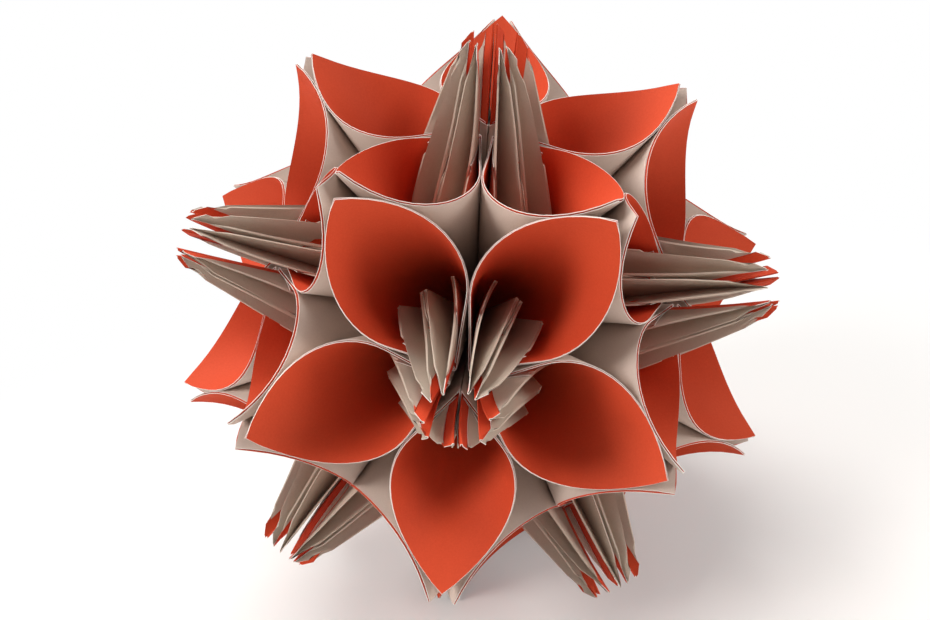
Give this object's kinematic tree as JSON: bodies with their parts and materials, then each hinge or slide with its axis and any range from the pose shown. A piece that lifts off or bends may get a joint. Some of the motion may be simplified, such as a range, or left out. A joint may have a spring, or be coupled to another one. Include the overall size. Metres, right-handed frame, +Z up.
{
  "type": "kusudama paper ball",
  "caption": "Kusudama paper ball: square sheets folded into cone petals with open kites at their seams, glued into flowers that cover a sphere and stand on their lowest tips.",
  "frame": {"origin": "middle of the ball, where the folded points of all the petals meet", "axes": "+Z up as the ball stands on its lowest petal and stamen tips; +X to the right and +Y away from a viewer who looks at the flower that faces -Y"},
  "size_m": [0.1238, 0.126, 0.1188],
  "materials": {
    "paper": "uncoated matte paper, orange-red inside the petals and pale pinkish white outside, with white cut edges"
  },
  "bodies": {
    "root": {"flower_01_petal_1": "paper", "flower_01_petal_2": "paper", "flower_01_petal_3": "paper", "flower_01_petal_4": "paper", "flower_01_petal_5": "paper", "flower_02_petal_1": "paper", "flower_02_petal_2": "paper", "flower_02_petal_3": "paper", "flower_02_petal_4": "paper", "flower_02_petal_5": "paper", "flower_03_petal_1": "paper", "flower_03_petal_2": "paper", "flower_03_petal_3": "paper", "flower_03_petal_4": "paper", "flower_03_petal_5": "paper", "flower_04_petal_1": "paper", "flower_04_petal_2": "paper", "flower_04_petal_3": "paper", "flower_04_petal_4": "paper", "flower_04_petal_5": "paper", "flower_05_petal_1": "paper", "flower_05_petal_2": "paper", "flower_05_petal_3": "paper", "flower_05_petal_4": "paper", "flower_05_petal_5": "paper", "flower_06_petal_1": "paper", "flower_06_petal_2": "paper", "flower_06_petal_3": "paper", "flower_06_petal_4": "paper", "flower_06_petal_5": "paper", "flower_07_petal_1": "paper", "flower_07_petal_2": "paper", "flower_07_petal_3": "paper", "flower_07_petal_4": "paper", "flower_07_petal_5": "paper", "flower_08_petal_1": "paper", "flower_08_petal_2": "paper", "flower_08_petal_3": "paper", "flower_08_petal_4": "paper", "flower_08_petal_5": "paper", "flower_09_petal_1": "paper", "flower_09_petal_2": "paper", "flower_09_petal_3": "paper", "flower_09_petal_4": "paper", "flower_09_petal_5": "paper", "flower_10_petal_1": "paper", "flower_10_petal_2": "paper", "flower_10_petal_3": "paper", "flower_10_petal_4": "paper", "flower_10_petal_5": "paper", "flower_11_petal_1": "paper", "flower_11_petal_2": "paper", "flower_11_petal_3": "paper", "flower_11_petal_4": "paper", "flower_11_petal_5": "paper", "flower_12_petal_1": "paper", "flower_12_petal_2": "paper", "flower_12_petal_3": "paper", "flower_12_petal_4": "paper", "flower_12_petal_5": "paper"}
  },
  "joints": []
}
